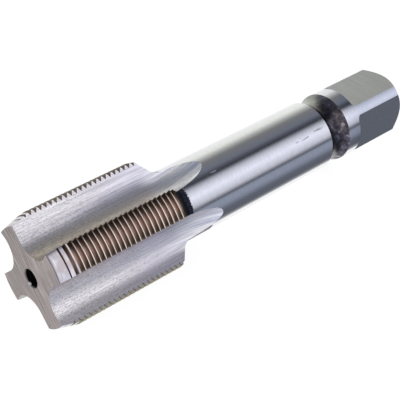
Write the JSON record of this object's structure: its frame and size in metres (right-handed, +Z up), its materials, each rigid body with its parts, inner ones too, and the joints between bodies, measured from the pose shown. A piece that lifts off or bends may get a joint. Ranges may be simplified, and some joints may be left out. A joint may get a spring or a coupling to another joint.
{
  "type": "thread tap",
  "caption": "Straight-fluted ground tap that cuts a fine internal thread, with a plain shank, a relief groove and a driving square, lying at rest.",
  "frame": {"origin": "on the table below the middle of the box around the tap as it lies at rest", "axes": "+Z up; the tap's axis runs from its cutting end at -X to its driving square at +X, sloping down by 2.5 degrees towards the square, with one flute facing up"},
  "size_m": [0.1278, 0.0262, 0.0275],
  "materials": {
    "tool_steel": "ground"
  },
  "bodies": {
    "root": {"tap": "tool_steel"}
  },
  "joints": []
}
